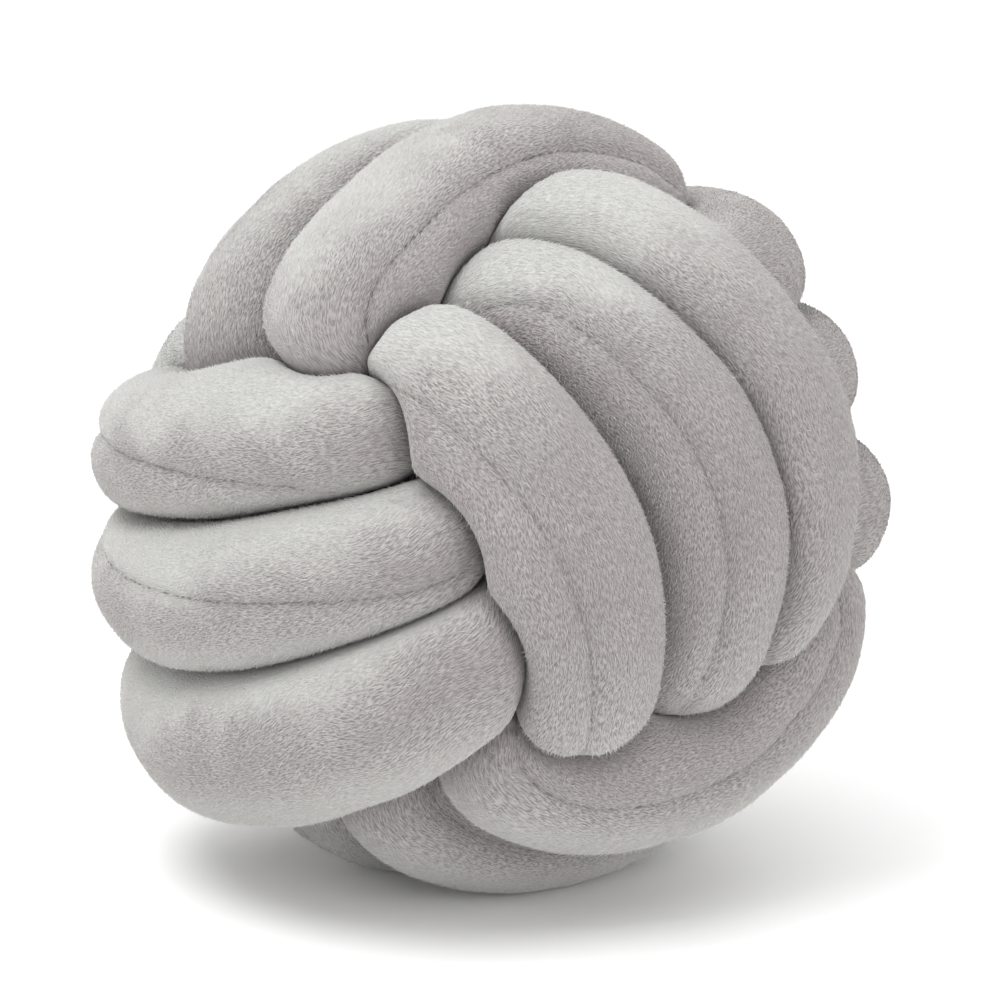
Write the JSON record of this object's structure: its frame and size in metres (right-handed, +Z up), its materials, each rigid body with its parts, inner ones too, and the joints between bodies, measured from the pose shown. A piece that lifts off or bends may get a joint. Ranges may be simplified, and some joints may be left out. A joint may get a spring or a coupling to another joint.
{
  "type": "knot cushion",
  "caption": "Ball-shaped knot cushion made of one stuffed plush tube woven over and under itself in crossing bundles.",
  "frame": {"origin": "centre of the ball's outline as seen from above, on the surface that it rests on", "axes": "+Z up from the flat foot, -Y towards the side shown in the picture, +X to the right of that side"},
  "size_m": [0.2314, 0.2318, 0.2229],
  "materials": {
    "plush": "short warm grey pile, matt with a soft sheen"
  },
  "bodies": {
    "root": {"knot_tube": "plush"}
  },
  "joints": []
}
